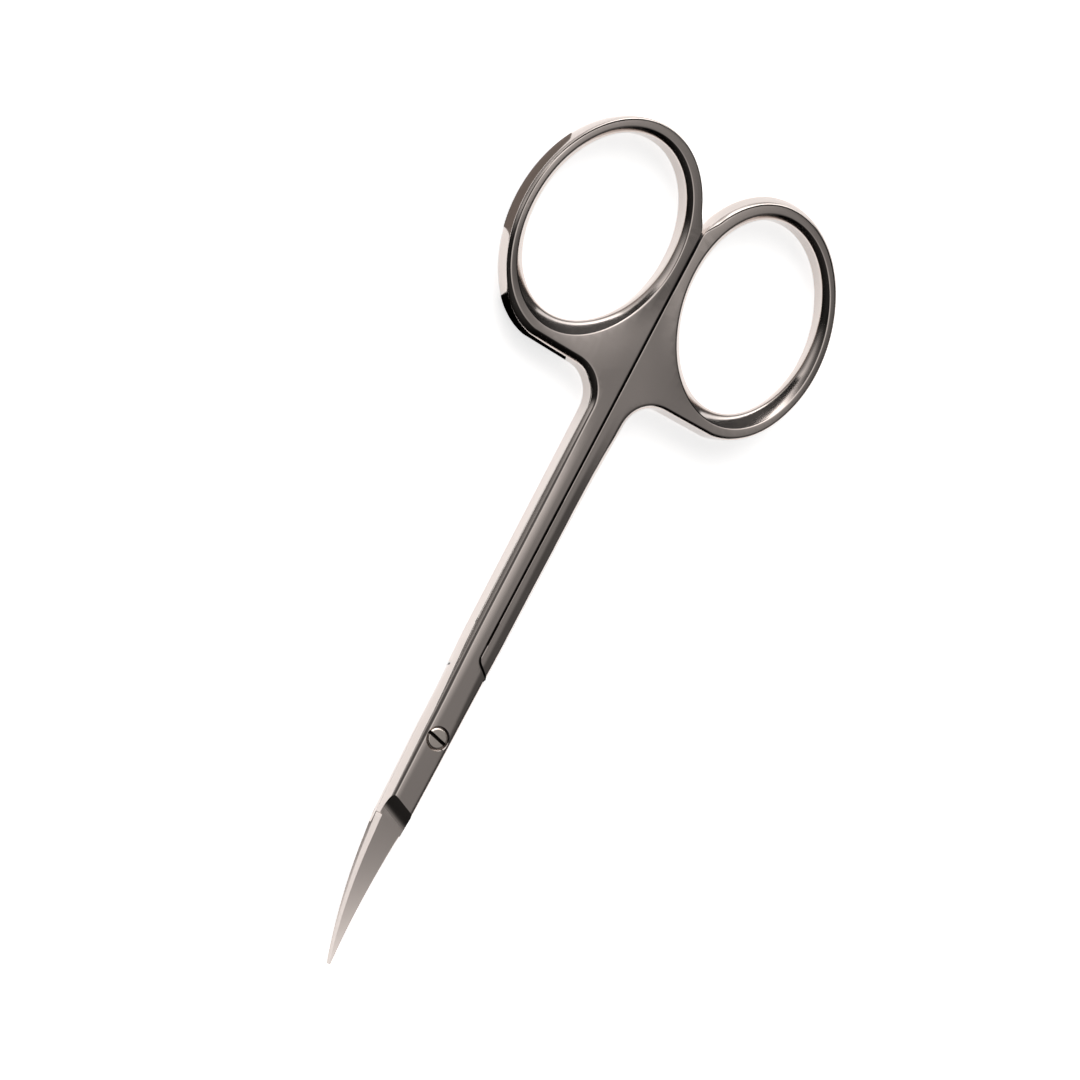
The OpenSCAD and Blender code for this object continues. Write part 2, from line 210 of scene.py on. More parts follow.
# Lengths that follow from those above
LAP_Z = THICK / 2
CURVE_START = SHOULDER_REACH + BLADE_W / 2 * math.tan(math.radians(SHOULDER_SLANT))
CURVE_RUN = TIP_REACH - CURVE_START
CURVE_R = (CURVE_RUN ** 2 + TIP_LIFT ** 2) / (2 * TIP_LIFT)
BLANK_REACH = CURVE_START + 1  # end of the forging before the shoulder is ground
LAP_CORNER = Vector((-LAP_BACK + LAP_RUN * LAP_BEND, 0))
LAP_START = Vector((-LAP_BACK - LAP_RUN * LAP_LEAD, 0))
LAP_EXIT = Vector((-LAP_BACK + LAP_RUN, -SHANK_W))
LAP_SHIFT = Vector((LAP_EDGE_GAP / 2, SPLIT_GAP))


def mix(a, b, t):
    """Value at the share t of the way from a to b."""
    return a + (b - a) * t


def ease(t):
    """Smooth step from 0 to 1 while t runs from 0 to 1."""
    t = max(0, min(1, t))
    return t * t * (3 - 2 * t)


def turned(v, degrees):
    """Vector turned about Z."""
    c, s = math.cos(math.radians(degrees)), math.sin(math.radians(degrees))
    return Vector((v.x * c - v.y * s, v.x * s + v.y * c))


def reach(half, along):
    """Half the extent of a tilted finger hole along X, with along=0, or Y, with along=1."""
    c, s = math.cos(math.radians(HOLE_TILT)), math.sin(math.radians(HOLE_TILT))
    return math.hypot(half.x * (s if along else c), half.y * (c if along else s))


def half_size(ring):
    """Half the length and half the width of a finger hole."""
    return Vector(ring["hole"]) / 2


def hole_middle(ring):
    """Middle of a finger hole, with its ring on the +Y side."""
    half = half_size(ring)
    return Vector((reach(half, 0) - HOLES_END, reach(half, 1) + HOLES_INSET))


# distance back from the pivot to the corner of the necks
NECK_BACK = HOLES_END - 2 * max(reach(half_size(r), 0) for r in (FRONT_RING, BACK_RING)) - NECK_RUN


def hole_point(ring, degrees):
    """Point on the edge of a finger hole, where 0 degrees is its front."""
    half, a = half_size(ring), math.radians(degrees)
    return hole_middle(ring) + turned(Vector((half.x * math.cos(a), half.y * math.sin(a))), HOLE_TILT)


def hole_normal(ring, degrees):
    """Direction square to the edge of a finger hole at that point, away from its middle."""
    half, a = half_size(ring), math.radians(degrees)
    return turned(Vector((half.y * math.cos(a), half.x * math.sin(a))).normalized(), HOLE_TILT)


def ring_edge(ring, degrees):
    """Outer edge of the flat of a ring, with the swell of its flank."""
    split = ease((degrees - SPLIT_FROM) / (SPLIT_TO - SPLIT_FROM))
    flat = mix(mix(NECK_FLAT, RING_FLAT, ease(degrees / NECK_FADE)), SPLIT_FLAT, split)
    swell = mix(ring["free_swell"], ring["split_swell"], split)
    return (*(hole_point(ring, degrees) + flat * hole_normal(ring, degrees)), swell)


def rounded(a, b, c, r, steps):
    """Arc that rounds corner b of the path a, b, c."""
    u, v = (a - b).normalized(), (c - b).normalized()
    half = math.acos(u.dot(v)) / 2
    centre = b + (u + v).normalized() * r / math.sin(half)
    first = b + u * r / math.tan(half) - centre
    inward = b - centre
    sweep = math.copysign(180 - 2 * math.degrees(half), first.x * inward.y - first.y * inward.x)
    return [centre + turned(first, sweep * i / steps) for i in range(steps + 1)]


def split_stretch(points, step):
    """The same outline with its long straight stretches split."""
    out = []
    for k, a in enumerate(points):
        b = points[(k + 1) % len(points)]
        length = math.hypot(b[0] - a[0], b[1] - a[1])
        parts = max(1, math.ceil(length / step))
        out += [tuple(mix(p, q, i / parts) for p, q in zip(a, b)) for i in range(parts)]
    return out


def flatten_curve(last, ahead):
    """Curve from the ring to the split line, on which the inner flank flattens."""
    end = Vector((last[0] + FLATTEN_RUN, RING_GAP))
    start = Vector(last[:2])
    handle = FLATTEN_RUN * FLATTEN_HANDLE
    points = []
    for i in range(1, ARC_STEPS + 1):
        t = i / ARC_STEPS
        p = (start * (1 - t) ** 3 + (start + ahead * handle) * 3 * t * (1 - t) ** 2
             + (end - Vector((handle, 0))) * 3 * t * t * (1 - t) + end * t ** 3)
        points.append((p.x, p.y, last[2] * (1 - ease(t))))
    return points


def forging_outline(made_ring):
    """Outline of the flat of one forging as x, y and swell, with its ring on the +Y side."""
    ring = [ring_edge(made_ring, a) for a in range(0, RING_TO + 1, RING_STEP)]
    hollow = rounded(Vector((-LAP_BACK, SHANK_W)), Vector((-NECK_BACK, NECK_W)),
                     Vector(ring[0][:2]), NECK_R, ARC_STEPS)
    ahead = (Vector(ring[-1][:2]) - Vector(ring[-2][:2])).normalized()
    lap = [p + LAP_SHIFT for p in rounded(LAP_START, LAP_CORNER, LAP_EXIT, LAP_R, ARC_STEPS)]
    points = [(BLANK_REACH, SHOULDER_W / 2, SHOULDER_SWELL), (0, SHANK_W, SHANK_SWELL)]
    points += [(p.x, p.y, mix(SHANK_SWELL, ring[0][2], i / ARC_STEPS)) for i, p in enumerate(hollow)]
    points += ring + flatten_curve(ring[-1], ahead)
    points += [(p.x, p.y, 0) for p in lap]
    exit_x = LAP_EXIT.x + LAP_SHIFT.x
    points += [(exit_x, LAP_EXIT.y, 0), (exit_x + SHANK_SWELL, LAP_EXIT.y, SHANK_SWELL),
               (0, -SHANK_W, SHANK_SWELL), (BLANK_REACH, -SHOULDER_W / 2, SHOULDER_SWELL)]
    return split_stretch(points, LONGEST_EDGE)


def hole_edge(ring):
    """Edge of a finger hole, run clockwise so that its flank swells inward."""
    points = []
    for degrees in range(0, -360, -RING_STEP):
        full = ((1 + math.cos(math.radians(degrees - ring["turn"]))) / 2) ** FRONT_POWER
        points.append((*hole_point(ring, degrees), mix(HOLE_SWELL, HOLE_FRONT_SWELL, full)))
    return points


def mitre(points, k):
    """Offset of point k of an outline, square to both of its sides."""
    a, b, c = points[k - 1], points[k], points[(k + 1) % len(points)]
    before = Vector((b[1] - a[1], a[0] - b[0])).normalized()
    after = Vector((c[1] - b[1], b[0] - c[0])).normalized()
    return (before + after) / (1 + before.dot(after))


def flank_rows(x, swell, in_hole):
    """Height, offset and inset of each row down a flank: soft edge, slope and upright side.

    The slope narrows along the joint, where the edge is softer instead, and less so round the rings.
    """
    joint = ease((x + SLOPE_END) / SLOPE_FADE)
    round_ring = ease((-NECK_BACK - x) / RING_FADE)
    soft = mix(mix(SOFT_EDGE, RING_SOFT_EDGE, round_ring), JOINT_SOFT_EDGE, joint)
    soft = mix(EDGE_R, soft, min(1, swell / SHANK_SWELL))
    drop = mix(EDGE_DROP, JOINT_EDGE_DROP, joint) * soft
    narrowing = max(joint, RING_NARROWING * round_ring)
    slope_out = swell * (1 if in_hole else mix(1, NARROW_SLOPE, narrowing))
    least, most = SLOPE_LIMITS
    start = min(most, max(least, 1 - slope_out * SLOPE_RUN))
    power = SLOPE_POWER + FULL_POWER * max(0, swell - FULL_SWELL)
    edge = [(LAP_Z - drop * t * t, 0, soft * (1 - t)) for t in (i / EDGE_ROWS for i in range(EDGE_ROWS))]
    rows = []
    for i in range(FLANK_ROWS + 1):
        u = math.cos(math.pi * i / FLANK_ROWS)
        out = slope_out * (1 - (max(0, abs(u) - start) / (1 - start)) ** power)
        out += (swell - slope_out) * max(0, 1 - (u / start) ** 2)
        rows.append((LAP_Z + (LAP_Z - drop) * u, out, 0))
    return ([(LAP_Z + z, out, inset) for z, out, inset in edge] + rows
            + [(LAP_Z - z, out, inset) for z, out, inset in reversed(edge)])


def join_rows(bm, rows):
    """Faces between neighbouring points of neighbouring rows, all the way round."""
    for upper, lower in zip(rows, rows[1:]):
        for k in range(len(upper)):
            bm.faces.new((upper[k - 1], lower[k - 1], lower[k], upper[k]))


def closed_mesh(rows_of_points):
    """Mesh through rows of points, closed by its first and its last row."""
    bm = bmesh.new()
    rows = [[bm.verts.new(point) for point in row] for row in rows_of_points]
    join_rows(bm, rows)
    bm.faces.new(rows[0])
    bm.faces.new(rows[-1])
    bmesh.ops.recalc_face_normals(bm, faces=bm.faces)
    return bm


def crown(x, y):
    """Height that polishing has left on the face of the joint and the shanks, 0 on its flat middle."""
    along = ease((x + LAP_BACK) / (LAP_BACK + SHOULDER_REACH))
    ridge = mix(RIDGE_BACK, RIDGE_FRONT, along)
    left = max(0, -y - LEFT_FLAT)
    right = max(0, y - ridge)
    drop = LEFT_SLOPE * left ** 2 / (2 * (SHANK_W - LEFT_FLAT))
    drop += RIGHT_SLOPE * (right - RIDGE_SOFT / 2 if right > RIDGE_SOFT else right ** 2 / (2 * RIDGE_SOFT))
    drop += FACET_SLOPE * max(0, y - SHANK_W + mix(*FACET_W, along))
    return -drop * ease((x + CROWN_END) / CROWN_FADE)


def neck_crown(ring, x, y):
    """Height that buffing has left on the neck and round the ring, 0 on the flat of the neck."""
    half = half_size(ring)
    place = turned(Vector((x, y)) - hole_middle(ring), -HOLE_TILT)
    level = Vector((place.x / half.x, place.y / half.y)).length
    from_hole = (level - 1) * half.y
    first, last = NECK_TOWARDS
    towards = ease((place.x / half.x / level - first) / (last - first))
    inside = max(0, NECK_CROWN_W - from_hole)
    drop = ring["neck_slope"] * towards * inside ** 2 / (2 * NECK_CROWN_W)
    return -drop - RING_SLOPE * (1 - towards) * max(0, min(RING_SLOPE_W, from_hole))


def crown_face(bm, ring, z, side):
    """Crowns one flat of a forging. side is 1 where it faces up and -1 where it is turned over."""
    def split(low, high, place, normal):
        live = [f for f in bm.faces if all(abs(v.co.z - z) < SAME_HEIGHT for v in f.verts)
                and max(v.co.x for v in f.verts) > low and min(v.co.x for v in f.verts) < high]
        live += list({e for f in live for e in f.edges}) + list({v for f in live for v in f.verts})
        bmesh.ops.bisect_plane(bm, geom=live, plane_co=place, plane_no=normal, dist=SAME_PLACE)

    along, across = (1, 0, 0), (0, 1, 0)
    rows_along, rows_across = CROWN_ROWS
    for i in range(rows_along + 1):
        split(-FAR, FAR, (mix(-CROWN_END, SHOULDER_REACH, i / rows_along), 0, 0), along)
    for i in range(1, rows_across):
        split(-CROWN_END, FAR, (0, mix(-SHANK_W, SHANK_W, i / rows_across), 0), across)
    for i in range(NECK_ROWS):
        split(-NECK_END, -CROWN_END, (-CROWN_END - NECK_ROW_AT[0] - NECK_ROW_AT[1] * i, 0, 0), along)
        split(-NECK_END, -CROWN_END, (0, NECK_ROW_OUT[0] + NECK_ROW_OUT[1] * i, 0), across)
    for vert in bm.verts:
        high = (vert.co.z - LAP_Z) / (z - LAP_Z)
        if high > 0:
            vert.co.z += side * high * (crown(vert.co.x, side * vert.co.y)
                                        + neck_crown(ring, vert.co.x, vert.co.y))


def forging_mesh(ring, side):
    """Closed mesh of one forging without its blade and cuts, with its ring on the +Y side.

    side is 1 if its upper face is at THICK, and -1 if it is at 0, to be turned over later.
    """
    bm = bmesh.new()
    rims = ([], [])
    for points, in_hole in ((forging_outline(ring), False), (hole_edge(ring), True)):
        n = len(points)
        offsets = [mitre(points, k) for k in range(n)]
        rows = []
        for level in zip(*(flank_rows(p[0], p[2], in_hole) for p in points)):
            rows.append([bm.verts.new((p[0] + o.x * (out - inset), p[1] + o.y * (out - inset), z))
                         for p, o, (z, out, inset) in zip(points, offsets, level)])
        join_rows(bm, rows)
        for rim, row in zip(rims, (rows[0], rows[-1])):
            rim += [bm.edges.get((row[k], row[(k + 1) % n])) for k in range(n)]
    for rim in rims:
        bmesh.ops.triangle_fill(bm, use_beauty=True, use_dissolve=False, edges=rim)
    bmesh.ops.recalc_face_normals(bm, faces=bm.faces)
    crown_face(bm, ring, THICK if side > 0 else 0, side)
    return bm


def prism_mesh(points, low, high):
    """Closed mesh of a flat outline raised from one height to another."""
    return closed_mesh([[(x, y, z) for x, y in points] for z in (low, high)])


def turned_mesh(profile):
    """Closed mesh of a profile of radius and height turned about the pivot axis."""
    angles = [2 * math.pi * k / TURNED_SIDES for k in range(TURNED_SIDES)]
    return closed_mesh([[(r * math.cos(a), r * math.sin(a), z) for a in angles] for r, z in profile])


def lap_room_mesh():
    """Room in the upper layer of the joint that the other half fills."""
    beyond = THICK  # past the flanks on both sides
    edge = [(p.x - LAP_SHIFT.x, -p.y + LAP_SHIFT.y)
            for p in rounded(LAP_START, LAP_CORNER, LAP_EXIT, LAP_R, LAP_ROOM_STEPS)]
    exit_point = Vector((LAP_EXIT.x - LAP_SHIFT.x, -LAP_EXIT.y))
    direction = (LAP_EXIT - LAP_CORNER).normalized()
    out = exit_point + beyond * Vector((direction.x, -direction.y))
    points = [(edge[0][0], -beyond), *edge, tuple(exit_point), tuple(out),
              (BLANK_REACH + PAST, out.y), (BLANK_REACH + PAST, -beyond)]
    return prism_mesh(points, LAP_Z - LAP_GAP / 2, THICK + PAST)


def shoulder_mesh():
    """Tool that grinds the hollow shoulder and takes off the end of the forging past it."""
    z = LAP_Z - BLADE_T + SHOULDER_SINK - SHOULDER_R
    end = SHOULDER_REACH + SHOULDER_RUN_OUT
    length, depth, width = SHOULDER_TOOL
    angles = [math.pi / 2 * i / SHOULDER_STEPS for i in range(SHOULDER_STEPS + 1)]
    outline = [(end - SHOULDER_R * math.sin(a), z + SHOULDER_R * math.cos(a)) for a in angles]
    outline += [(end - SHOULDER_R, -depth), (end + length, -depth), (end + length, depth), (end, depth)]
    bm = closed_mesh([[(x - SHOULDER_REACH, y, h) for x, h in outline] for y in (-width / 2, width / 2)])
    bmesh.ops.transform(bm, verts=bm.verts, matrix=Matrix.Translation((SHOULDER_REACH, 0, 0))
                        @ Matrix.Rotation(math.radians(SHOULDER_SLANT), 4, "Z"))
    return bm


def lift(distance):
    """Height of the surface between the blades at a distance from the pivot axis."""
    run = max(0, distance - CURVE_START)
    return LAP_Z + CURVE_R - math.sqrt(CURVE_R ** 2 - run ** 2)


def blade_section(x, side):
    """Corners of the blade's section at a distance from the pivot. side is 1 for the upper blade."""
    s = max(0, x - SHOULDER_REACH) / (TIP_REACH - SHOULDER_REACH)
    half_w = mix(BLADE_W, TIP_W, s ** TAPER_POWER) / 2
    half_w += ROOT_EXTRA * (1 - ease((x - SHOULDER_REACH) / ROOT_RUN))
    t = mix(BLADE_T, TIP_T, s)
    scale = mix(1, TIP_W / BLADE_W, s)
    bevel, chamfer = BEVEL_W * scale, SPINE_CHAMFER * scale
    inner, outer = BLADE_COLUMNS
    back = SPINE_LEAN * scale if side < 0 else 0
    corners = [(mix(-half_w, half_w - back, i / inner), 0) for i in range(inner + 1)]
    corners += [(half_w, t - chamfer), (half_w - chamfer, t)]
    corners += [(mix(half_w - chamfer, -half_w + bevel, i / outer), t) for i in range(1, outer + 1)]
    return [(x, side * y, lift(math.hypot(x, y)) + side * (z + LAP_GAP / 2)) for y, z in corners]


def blade_mesh(side):
    """Curved blade, ground to a bevel along its cutting edge. side is 1 for the upper one."""
    first = SHOULDER_REACH - ROOT_LEAD
    return closed_mesh([blade_section(mix(first, TIP_REACH, i / BLADE_ROWS), side)
                        for i in range(BLADE_ROWS + 1)])


def piece_of(name, bm):
    """Object with a bmesh of millimetres, still in millimetres."""
    mesh = bpy.data.meshes.new(name)
    bm.to_mesh(mesh)
    bm.free()
    piece = bpy.data.objects.new(name, mesh)
    bpy.context.scene.collection.objects.link(piece)
    return piece


def apply_modifiers(piece):
    """Works the modifiers of a piece into its mesh."""
    graph = bpy.context.evaluated_depsgraph_get()
    mesh = bpy.data.meshes.new_from_object(piece.evaluated_get(graph))
    piece.modifiers.clear()
    piece.data = mesh


def cut(piece, tool, operation="DIFFERENCE"):
    """Cuts a tool's mesh out of a piece, or joins it on."""
    other = piece_of("tool", tool)
    step = piece.modifiers.new("cut", "BOOLEAN")
    step.operation = operation
    step.solver = "EXACT"
    step.object = other
    apply_modifiers(piece)
    bpy.data.objects.remove(other)


def finish_mesh(piece):
    """Turns millimetres to metres and sets the shading of flats, flanks and edges."""
    piece.data.transform(Matrix.Scale(MM, 4))
    for polygon in piece.data.polygons:
        polygon.use_smooth = True
    piece.data.set_sharp_from_angle(angle=math.radians(SHARP_ANGLE))
    normals = piece.modifiers.new("normals", "WEIGHTED_NORMAL")
    normals.keep_sharp = True
    normals.weight = LARGE_FACE_WEIGHT
    apply_modifiers(piece)


def make_front_half():
    """Front half: upper layer of the joint and upper blade, made upside down and turned over."""
    piece = piece_of("front_half_polished", forging_mesh(FRONT_RING, -1))
    cut(piece, lap_room_mesh())
    cut(piece, shoulder_mesh())
    piece.data.transform(Matrix.Translation((0, 0, THICK)) @ Matrix.Rotation(math.pi, 4, "X"))
    cut(piece, blade_mesh(1), "UNION")
    bore = JOURNAL_D / 2 + JOURNAL_GAP
    seat = HEAD_D / 2 + HEAD_GAP
    floor = THICK - HEAD_DROP - HEAD_H
    rim = seat + SEAT_CHAMFER
    cut(piece, turned_mesh([(bore, -PAST), (bore, floor), (seat, floor), (seat, THICK - SEAT_CHAMFER),
                            (rim, THICK), (rim, THICK + PAST)]))
    finish_mesh(piece)
    return piece


def make_back_half():
    """Back half: lower layer of the joint and lower blade."""
    piece = piece_of("back_half_polished", forging_mesh(BACK_RING, 1))
    cut(piece, lap_room_mesh())
    cut(piece, shoulder_mesh())
    cut(piece, blade_mesh(-1), "UNION")
    bore = THREAD_D / 2 + THREAD_GAP
    rim = bore + END_CHAMFER
    cut(piece, turned_mesh([(rim, -PAST), (rim, 0), (bore, END_CHAMFER), (bore, THICK)]))
    finish_mesh(piece)
    return piece


def dress_half(half, finishes_and_shade):
    """Gives a half its finishes and its painted shade: buffed, satin on the blade past the shoulder, and
    near-black painted shade on the walls of the gaps, where shade falls.
    """
    half.data.materials.clear()
    for finish in finishes_and_shade:
        half.data.materials.append(finish)
    buffed, satin, gap_shade = range(len(finishes_and_shade))
    slant = math.radians(SHOULDER_SLANT)
    for polygon in half.data.polygons:
        x, y, z = polygon.center / MM
        normal = polygon.normal
        out = x - SHOULDER_REACH - (0 if z > LAP_Z else LOWER_SATIN_LEAD)
        past_shoulder = out * math.cos(slant) + y * math.sin(slant) > 0
        between_blades = (abs(z - LAP_Z) < BLADE_T + LAP_GAP and x > SHOULDER_REACH - SATIN_LEAD
                          and abs(normal.z) > NEARLY_FLAT)
        # walls of the split and of the lap's edge are painted near black: painted shade, where the gaps
        # between the halves are in shade
        in_split = (abs(y) < SPLIT_GAP / 2 + EDGE_R and x < LAP_START.x
                    and abs(normal.z) < QUITE_FLAT)
        in_lap = (LAP_START.x < x < LAP_EXIT.x + LAP_MARGIN and abs(normal.z) < SLANTED
                  and abs(normal.x) > LAP_TURN)
        if between_blades or past_shoulder:
            polygon.material_index = satin
        elif in_split or in_lap:
            polygon.material_index = gap_shade
        else:
            polygon.material_index = buffed


def make_screw():
    """Pivot screw, with its slotted head up and its end in the back half."""
    top = THICK - HEAD_DROP
    seat = top - HEAD_H
    r, journal, thread = HEAD_D / 2, JOURNAL_D / 2, THREAD_D / 2
    profile = [(r - inset, top - drop) for inset, drop in HEAD_DOME]
    profile += [(r, seat), (journal, seat), (journal, LAP_Z), (thread, LAP_Z),
                (thread, END_DROP + THREAD_CHAMFER), (thread - THREAD_CHAMFER, END_DROP)]
    piece = piece_of("pivot_screw_turned", turned_mesh(profile))
    corners = [(-SLOT_W / 2, -HEAD_D), (SLOT_W / 2, -HEAD_D), (SLOT_W / 2, HEAD_D),
               (-SLOT_W / 2, HEAD_D)]
    slot = prism_mesh(corners, top - SLOT_H, THICK + PAST)
    bmesh.ops.transform(slot, verts=slot.verts, matrix=Matrix.Rotation(math.radians(SLOT_TURN), 4, "Z"))
    cut(piece, slot)
    finish_mesh(piece)
    # the slot's walls get the near-black painted shade of its recess
    for finish in (turned_steel(), painted_shade_steel()):
        piece.data.materials.append(finish)
    for polygon in piece.data.polygons:
        place = polygon.center / MM
        place.rotate(Matrix.Rotation(math.radians(-SLOT_TURN), 3, "Z"))
        in_slot = abs(place.x) < SLOT_W / 2 + SLOT_MARGIN and place.z > top - SLOT_H - SLOT_MARGIN
        polygon.material_index = 1 if in_slot else 0
    return piece


def linear(hex_colour):
    """Linear colour of an sRGB hex value."""
    values = [int(hex_colour[i:i + 2], 16) / 255 for i in (1, 3, 5)]
    return tuple(v / 12.92 if v <= 0.04045 else ((v + 0.055) / 1.055) ** 2.4 for v in values) + (1,)


def add(tree, kind, settings=None, links=None):
    """Adds one node, with its settings and the outputs that feed its inputs, by name or number."""
    node = tree.nodes.new(kind)
    for name, value in (settings or {}).items():
        if isinstance(name, int) or name in node.inputs:
            node.inputs[name].default_value = value
        else:
            setattr(node, name, value)
    for name, output in (links or {}).items():
        tree.links.new(output, node.inputs[name])
    return node


def new_material(name):
    """Empty material of this name, with its node tree."""
    material = bpy.data.materials.new(name)
    material.use_nodes = True
    material.node_tree.nodes.clear()
    return material, material.node_tree


def dark_polished_steel():
    """Stainless steel buffed to a warm mirror: the eye gets long soft bands and a few faint waves."""
    material, tree = new_material("buffed_stainless_steel")
    place = add(tree, "ShaderNodeTexCoord").outputs["Object"]
    # the wheel leaves waves some 5 mm long
    waves = add(tree, "ShaderNodeTexNoise", {"Scale": 1 / (5 * MM), "Detail": 2}, {"Vector": place})
    # buffing lines are some 0.01 mm apart, and are drawn ten times as coarse so that they show
    lines_place = add(tree, "ShaderNodeMapping", {"Scale": (0.06, 1, 1)}, {"Vector": place})
    lines = add(tree, "ShaderNodeTexNoise", {"Scale": 1 / (0.1 * MM), "Detail": 3},
                {"Vector": lines_place.outputs["Vector"]})
    wave_bump = add(tree, "ShaderNodeBump", {"Strength": 0.2, "Distance": 0.02 * MM},
                    {"Height": waves.outputs["Fac"]})
    bump = add(tree, "ShaderNodeBump", {"Strength": 0.03, "Distance": 0.01 * MM},
               {"Height": lines.outputs["Fac"], "Normal": wave_bump.outputs["Normal"]})
    gloss = add(tree, "ShaderNodeMapRange", {"From Min": 0.3, "From Max": 0.7, "To Min": 0.1,
                                             "To Max": 0.16}, {"Value": waves.outputs["Fac"]})
    surface = add(tree, "ShaderNodeBsdfPrincipled",
                  {"Base Color": linear("#CFC6C1"), "Metallic": 1},
                  {"Normal": bump.outputs["Normal"], "Roughness": gloss.outputs["Result"]})
    add(tree, "ShaderNodeOutputMaterial", links={"Surface": surface.outputs["BSDF"]})
    return material


def ground_satin_steel():
    """The same steel ground satin on the blades: light fades along the curve in place of a mirror."""
    material, tree = new_material("satin_ground_stainless_steel")
    place = add(tree, "ShaderNodeTexCoord").outputs["Object"]
    # a fine wheel leaves marks some 0.02 mm apart, drawn three times as coarse so that they show
    across = add(tree, "ShaderNodeMapping", {"Scale": (1, 0.08, 0.08)}, {"Vector": place})
    grind = add(tree, "ShaderNodeTexNoise", {"Scale": 1 / (0.06 * MM), "Detail": 4},
                {"Vector": across.outputs["Vector"]})
    bump = add(tree, "ShaderNodeBump", {"Strength": 0.12, "Distance": 0.01 * MM},
               {"Height": grind.outputs["Fac"]})
    surface = add(tree, "ShaderNodeBsdfPrincipled",
                  {"Base Color": linear("#D3CAC5"), "Metallic": 1, "Roughness": 0.34},
                  {"Normal": bump.outputs["Normal"]})
    add(tree, "ShaderNodeOutputMaterial", links={"Surface": surface.outputs["BSDF"]})
    return material


def turned_steel():
    """Stainless steel faced on a lathe: fine rings round the axis, brighter than the forgings."""
    material, tree = new_material("lathe_faced_stainless_steel")
    place = add(tree, "ShaderNodeTexCoord").outputs["Object"]
    # the tool feeds about 0.05 mm a turn, and its rings are drawn 0.94 mm apart so that they show;
    # at scale 1 the texture has 20 radians to the metre
    rings = add(tree, "ShaderNodeTexWave", {"wave_type": "RINGS", "rings_direction": "Z",
                                            "Scale": 2 * math.pi / 20 / (0.94 * MM), "Distortion": 0.4},
                {"Vector": place})
    bump = add(tree, "ShaderNodeBump", {"Strength": 0.25, "Distance": 0.01 * MM},
               {"Height": rings.outputs["Fac"]})
    surface = add(tree, "ShaderNodeBsdfPrincipled",
                  {"Base Color": linear("#E2D9D1"), "Metallic": 1, "Roughness": 0.27},
                  {"Normal": bump.outputs["Normal"]})
    add(tree, "ShaderNodeOutputMaterial", links={"Surface": surface.outputs["BSDF"]})
    return material


def painted_shade_steel():
    """Walls of the slot and of the gaps, left rough and painted near black: painted shade of the slot's
    recess and of the gaps between the halves.
    """
    material, tree = new_material("rough_steel_painted_shade")
    surface = add(tree, "ShaderNodeBsdfPrincipled",
                  {"Base Color": linear("#2B2622"), "Metallic": 1, "Roughness": 0.5})
    add(tree, "ShaderNodeOutputMaterial", links={"Surface": surface.outputs["BSDF"]})
    return material


def white_table():
    """Matt white laminate, which stays white in the picture and in the steel."""
    material, tree = new_material("matt_white_laminate")
    path = add(tree, "ShaderNodeLightPath")
    seen = add(tree, "ShaderNodeMath", {"operation": "ADD"},
               {0: path.outputs["Is Camera Ray"], 1: path.outputs["Is Glossy Ray"]})
    more = add(tree, "ShaderNodeMath", {"operation": "ADD", "use_clamp": True},
               {0: seen.outputs[0], 1: path.outputs["Is Transmission Ray"]})
    glow = add(tree, "ShaderNodeMath", {"operation": "MULTIPLY", 1: TABLE_GLOW}, {0: more.outputs[0]})
    light = add(tree, "ShaderNodeEmission", {"Color": linear("#FFFFFF")}, {"Strength": glow.outputs[0]})
    matt = add(tree, "ShaderNodeBsdfDiffuse", {"Color": linear("#F2F2F2")})
    both = add(tree, "ShaderNodeAddShader", links={0: light.outputs[0], 1: matt.outputs[0]})
    add(tree, "ShaderNodeOutputMaterial", links={"Surface": both.outputs[0]})
    return material


def felt(name, colour):
    """Matt cloth of a studio card, which the steel mirrors as a band of that tone."""
    material, tree = new_material(name)
    surface = add(tree, "ShaderNodeBsdfDiffuse", {"Color": linear(colour)})
    add(tree, "ShaderNodeOutputMaterial", links={"Surface": surface.outputs[0]})
    return material


def make_floor():
    """Top of the white table that the scissors rest on."""
    bm = bmesh.new()
    bmesh.ops.create_grid(bm, x_segments=1, y_segments=1, size=TABLE_REACH)
    floor = piece_of("table_top", bm)
    floor.data.transform(Matrix.Scale(MM, 4))
    floor.location.z = -TABLE_DROP * MM
    floor.data.materials.append(white_table())


def make_card(name, corners, finish):
    """Studio card that only the reflections see."""
    bm = bmesh.new()
    bm.faces.new([bm.verts.new(corner) for corner in corners])
    card = piece_of(name, bm)
    card.data.transform(Matrix.Scale(MM, 4))
    card.data.materials.append(finish)
    card.visible_camera = False
    card.visible_diffuse = False
    card.visible_shadow = False


def make_cards():
    """Felt and velvet that give the rings their grey and black bands."""
    velvet = felt("black_velvet", "#0A0909")
    make_card("card_by_left_ring", [(x, y, CARD_Z) for x, y in BLACK_CARD], velvet)
    grey = felt("grey_felt", "#A39A94")
    make_card("card_left_of_rings", [(x, y, CARD_Z) for x, y in GREY_CARD], grey)
    low, high = BACK_CARD_Z
    ends = (-BACK_CARD_Y, BACK_CARD_Y)
    corners = [(BACK_CARD_X, y, low) for y in ends] + [(BACK_CARD_X, y, high) for y in reversed(ends)]
    make_card("card_behind_rings", corners, velvet)


def soft_box(name, towards, distance, size, radiance):
    """Rectangular lamp with its size and distance in metres, aimed at the scissors' middle."""
    data = bpy.data.lights.new(name, "AREA")
    data.shape = "RECTANGLE"
    data.size, data.size_y = size
    data.energy = radiance * math.pi * size[0] * size[1]
    lamp = bpy.data.objects.new(name, data)
    middle = Vector((-22, 0, 0)) * MM
    lamp.location = middle + Vector(towards).normalized() * distance
    lamp.rotation_euler = (middle - lamp.location).to_track_quat("-Z", "Y").to_euler()
    bpy.context.scene.collection.objects.link(lamp)


